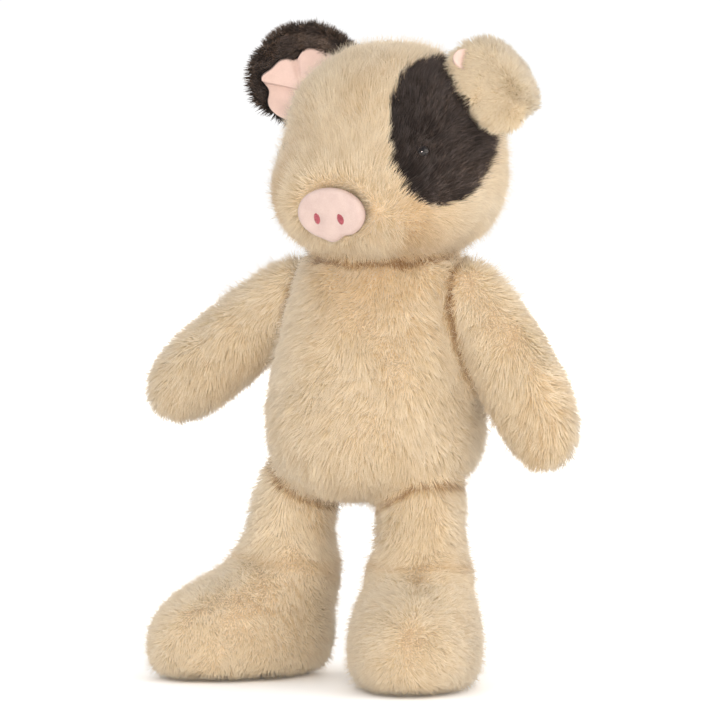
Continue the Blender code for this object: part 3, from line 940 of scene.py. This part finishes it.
def make_lining(side, look):
    """The velour on an ear's front. Where it has a pleat, one half is lifted over the other."""
    ear = EARS[side]
    rows, count = 48, 120
    angles = np.linspace(0, 2 * pi, count, endpoint=False)
    angles = np.where(angles > pi, angles - 2 * pi, angles)
    edge = lining_edge(ear, angles)
    steps = [(s, 1.0) for s in np.linspace(0.05, 0.90, 8)]
    steps += [(sin(a), 0.5 + 0.5 * cos(a)) for a in np.linspace(1.2, pi / 2, 4)]
    steps += [(s, 0.0) for s in np.linspace(1.0, 0.02, rows)[1:]]
    across_way = np.array(ear["hinge"].normalized())
    reach, samples = 1.15, 64
    lines = [ear_frame(ear, s) for s in np.linspace(0, reach, samples)]
    middles = np.array([line[0] for line in lines])
    facings = np.array([ear["hinge"].cross(line[1]).normalized() for line in lines])
    rings = []
    for share, behind in steps:
        along = ear["lining"][0] + share * edge * np.cos(angles)
        across = ear["lining"][1] + share * edge * np.sin(angles)
        place = np.clip(along / ear["length"] / reach * (samples - 1), 0, samples - 1.001)
        low, part = place.astype(int), (place % 1)[:, None]
        middle = middles[low] * (1 - part) + middles[low + 1] * part
        facing = unit(facings[low] * (1 - part) + facings[low + 1] * part)
        over = ramp(-0.0008, 0.0008, across + 0.0100 + 0.30 * (along - 0.029))
        fade = 1 - 0.75 * ramp(-0.012, 0.016, across)
        beside = across - 0.0045 - 0.8 * (along - 0.040)
        crease = np.exp(-((beside / 0.0016) ** 2)) * ramp(0.026, 0.034, along)
        lift = ear["pleat"] * (over * fade - 0.45 * crease) * (1 - ramp(0.93, 1.0, share))
        lift = lift + 0.0003 * np.sin(420 * across + 260 * along) * (1 - share)
        lift = lift - ear["curl"] * ramp(0.021, 0.033, share * edge)
        hollow = ear["cup"] * (across / ear["half_width"]) ** 2
        height = LINING_THICK * (1 - behind) + hollow + (1 - behind) * lift
        rings.append(middle + across_way * across[:, None] + facing * height[:, None])
    made = closed_loft("lining_" + side, rings, look)
    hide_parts("ear_lining_" + side)
    return made


# ------------------------ snout, eyes and tail

def snout_edge(angle):
    """The pad's outline as a share of an oval: a small point under it, and a pucker beside that."""
    point = 0.10 * np.exp(-(((angle + pi / 2) / 0.20) ** 2))
    pucker = 0.09 * np.exp(-(((angle + pi / 2 - 0.42) / 0.18) ** 2))
    return 1.0 + point - pucker


def make_snout(look):
    """A stuffed oval pad, sunk a little at each nostril and puckered along its sewn edge."""
    angles = np.linspace(-pi, pi, 144, endpoint=False)
    rings = []
    steps = [(0.94, 1.0), (0.985, 0.72), (1.0, 0.52), (0.995, 0.40), (0.97, 0.28), (0.93, 0.19), (0.87, 0.13)]
    steps += [(r, 0.12 * (r / 0.87) ** 2) for r in np.linspace(0.82, 0.03, 22)]
    for share, depth in steps:
        edge = 1 + (snout_edge(angles) - 1) * share ** 3
        x = SNOUT_HALF_WIDTH * share * edge * np.cos(angles)
        z = SNOUT_HALF_HEIGHT * share * edge * np.sin(angles)
        sunk = np.zeros(len(angles))
        for side in (-1, 1):
            gap = np.hypot((x - side * NOSTRIL_APART / 2) / 0.0036, (z + NOSTRIL_DROP) / 0.0042)
            sunk += 0.0011 * np.exp(-gap ** 2)
        sunk += 0.00018 * np.sin(angles * 46) * np.exp(-((share - 0.97) / 0.05) ** 2)
        back = SNOUT_THICK * depth + sunk * (depth < 0.4)
        flat = SNOUT_CENTRE + np.outer(x, SNOUT_ACROSS) + np.outer(z, SNOUT_UP)
        rings.append(flat - np.outer(back, SNOUT_OUT))
    made = closed_loft("snout_pad", rings, look)
    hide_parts("snout")
    return made


def make_nostril(side_name, side, look):
    """Satin stitch: threads laid side by side over a small oval."""
    out, up, right = SNOUT_OUT, SNOUT_UP, SNOUT_ACROSS
    rows, corners = 9, 8
    lean = NOSTRIL_SLANT[side_name]
    long_way = up * cos(lean) - right * sin(lean)
    short_way = right * cos(lean) + up * sin(lean)
    centre = SNOUT_CENTRE + right * side * NOSTRIL_APART / 2 - up * NOSTRIL_DROP - out * 0.0016
    points, faces = [], []
    for number in range(STITCHES):
        place = -1 + 2 * (number + 0.5) / STITCHES
        half = NOSTRIL_HALF_WIDE * sqrt(1 - place * place) + 0.0002
        spine = []
        for step in np.linspace(-1, 1, rows):
            height = 0.0010 * sqrt(max(1 - step * step, 0)) - 0.0002
            lift = 0.00012 * ((number * 7) % 3 - 1)
            spine.append(
                centre + long_way * NOSTRIL_HALF_TALL * place + short_way * (half * step)
                + out * (height + lift) + long_way * 0.0003 * step
            )
        spine = np.array(spine)
        for row, middle in enumerate(spine):
            thick = THREAD_RADIUS * (0.55 if row in (0, rows - 1) else 1.0)
            for corner in range(corners):
                turn = 2 * pi * corner / corners
                points.append(middle + (long_way * cos(turn) + out * sin(turn)) * thick)
        first = number * rows * corners
        last = first + (rows - 1) * corners
        for low in range(first, last, corners):
            for corner in range(corners):
                a, b = low + corner, low + (corner + 1) % corners
                faces += [(a, b, b + corners), (a, b + corners, a + corners)]
        for start in (first, last):
            for corner in range(1, corners - 1):
                tri = (start, start + corner + 1, start + corner)
                faces.append(tri if start == first else tri[::-1])
    points, faces = np.array(points), np.array(faces)
    made = mesh_object("stitches_" + side_name, points, outward(points - points.mean(0), faces), look)
    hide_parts("nostril_" + side_name)
    return made


def make_eye(side_name, look):
    """A domed button eye with a thin rim behind it."""
    centre, across, up, out = eye_frame(side_name)
    angles = np.linspace(0, 2 * pi, 48, endpoint=False)
    steps = [(0.30, -0.98), (0.62, -0.80), (0.93, -0.42), (1.0, -0.20), (1.0, -0.10), (0.965, -0.04)]
    steps += [(0.96 * cos(a), 0.97 * sin(a)) for a in np.linspace(0.05, 1.50, 16)]
    rings = []
    for share, depth in steps:
        circle = np.outer(np.cos(angles), across) + np.outer(np.sin(angles), up)
        rings.append(centre + EYE_RADIUS * (share * circle + depth * out))
    made = closed_loft("button_eye_" + side_name, rings, look)
    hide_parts("eye_" + side_name)
    return made


def make_tail(look):
    """A curled tube of velour, with its closing seam as a shallow groove along it."""
    low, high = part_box("tail")
    length = high.y - low.y - 0.002
    root = np.array(((low.x + high.x) / 2 - 0.0009, low.y + 0.001, low.z + 0.0034))
    shares = np.linspace(0, 1, 120)
    turn = shares * TAIL_TURNS * 2 * pi
    curl = TAIL_REACH * (1 - 0.4 * shares)
    line = root + np.stack([curl * np.sin(turn), length * shares, curl * (1 - np.cos(turn))], 1)
    line[:, 0] -= line[:, 0].mean() - (low.x + high.x) / 2
    way = unit(np.gradient(line, axis=0))
    side = unit(np.cross(way, (0.0, 1.0, 0.0)))
    lift = np.cross(way, side)
    angles = np.linspace(0, 2 * pi, 24, endpoint=False)
    rings = []
    for i, share in enumerate(shares):
        tip = max((share - 0.93) / 0.07, 0)
        radius = TAIL_RADIUS * (1 - 0.35 * share) * sqrt(max(1 - tip ** 2, 0.02))
        groove = 1 - 0.14 * np.exp(-((angles - pi) / 0.22) ** 2) + 0.02 * np.sin(angles * 3 + 40 * share)
        circle = np.outer(np.cos(angles) * groove, side[i]) + np.outer(np.sin(angles) * groove, lift[i])
        rings.append(line[i] + radius * circle)
    made = closed_loft("tail_curl", rings, look)
    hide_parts("tail")
    return made


# ------------------------ studio

def place_camera():
    """A long lens, just above the toy's middle and round to its left."""
    data = bpy.data.cameras.new("camera")
    data.sensor_width = 36.0
    data.lens = 36.0 * CAMERA_DISTANCE / VIEW_WIDTH
    made = bpy.data.objects.new("camera", data)
    bpy.context.scene.collection.objects.link(made)
    back = Vector(
        (sin(CAMERA_AZIMUTH) * cos(CAMERA_RISE), -cos(CAMERA_AZIMUTH) * cos(CAMERA_RISE), sin(CAMERA_RISE))
    )
    made.location = CAMERA_TARGET + back * CAMERA_DISTANCE
    made.rotation_euler = back.to_track_quat("Z", "Y").to_euler()
    bpy.context.scene.camera = made


def add_light(name, place, aim, power, **settings):
    """A warm light that looks from its place at its aim: a spot if its cone is set, or else a disk."""
    data = bpy.data.lights.new(name, "SPOT" if "spot_size" in settings else "AREA")
    data.energy = power
    data.color = WARM
    for key, value in settings.items():
        setattr(data, key, value)
    made = bpy.data.objects.new(name, data)
    bpy.context.scene.collection.objects.link(made)
    made.location = place
    made.rotation_euler = (Vector(place) - aim).to_track_quat("Z", "Y").to_euler()


def make_studio():
    """A white room with soft lights, which gloss sees darker, so that the eyes stay black."""
    scene = bpy.context.scene
    scene.view_settings.view_transform = "Standard"
    world = bpy.data.worlds.new("studio")
    world.use_nodes = True
    room, background = world.node_tree, world.node_tree.nodes["Background"]
    glossy = room.nodes.new("ShaderNodeLightPath").outputs["Is Glossy Ray"]
    softened = colour_ramp(room, glossy, ((0.0, (1, 1, 1)), (1.0, (0.2, 0.2, 0.2))))
    room.links.new(softened, background.inputs["Color"])
    background.inputs["Strength"].default_value = 1.11
    scene.world = world
    look, tree, shader = material("studio_floor", 0.9)
    shader.inputs["Specular IOR Level"].default_value = 0.0
    grain = colour_ramp(tree, noise(tree, 6.0), ((0.3, (0.93, 0.93, 0.93)), (0.7, (0.95, 0.95, 0.95))))
    tree.links.new(grain, shader.inputs["Base Color"])
    edge = 60.0
    corners = np.array(((-edge, -edge, 0), (edge, -edge, 0), (edge, edge, 0), (-edge, edge, 0)))
    floor = mesh_object("studio_floor", corners, np.array(((0, 1, 2, 3),)), look)
    floor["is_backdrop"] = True
    middle, feet = CAMERA_TARGET, Vector((0.0, -0.02, 0.035))
    add_light("key", (1.42, -2.26, 0.60), middle, 48, shape="DISK", size=0.5)
    add_light("side", (2.5, 0.3, 0.7), middle, 44, shape="DISK", size=3.0)
    add_light("back", (-1.2, 2.6, 1.0), middle, 30, shape="DISK", size=1.5)
    add_light("left", (-1.9, -1.7, 0.50), middle, 7, shape="DISK", size=1.0)
    add_light("low", (0.9, -2.4, 0.12), feet, 250, spot_size=radians(9), spot_blend=1.0, shadow_soft_size=0.3)


# ------------------------ the toy

def main():
    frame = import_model()
    rng = np.random.default_rng(SEED)
    place_camera()
    make_studio()
    coat_looks = coat_material("fur_cream", 0.30, 0.2), coat_material("fur_charcoal", 0.02, 0.1)
    backing_look = skin_material()
    pink = velour_material("velour_lining", (0.52, 0.385, 0.340), (0.58, 0.430, 0.385), 0.05)
    pale_pink = velour_material("velour_snout", (0.430, 0.335, 0.310), (0.475, 0.375, 0.345), 0.05)
    skin, pieces = make_body(frame["nodes"], backing_look, coat_looks, rng)
    pieces.append(skin)
    for side_name, side in (("left", 1), ("right", -1)):
        coat_look = coat_looks[EARS[side_name]["dark"] > 0.5]
        ear_skin, ear_coat = make_ear(side_name, backing_look, coat_look, rng)
        pieces += [ear_skin, ear_coat, make_lining(side_name, pink)]
        pieces.append(make_nostril(side_name, side, thread_material()))
        pieces.append(make_eye(side_name, eye_material()))
    snout = make_snout(pale_pink)
    tail = make_tail(pink)
    pieces += [snout, tail]
    for piece in pieces:
        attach(piece, "root")


main()
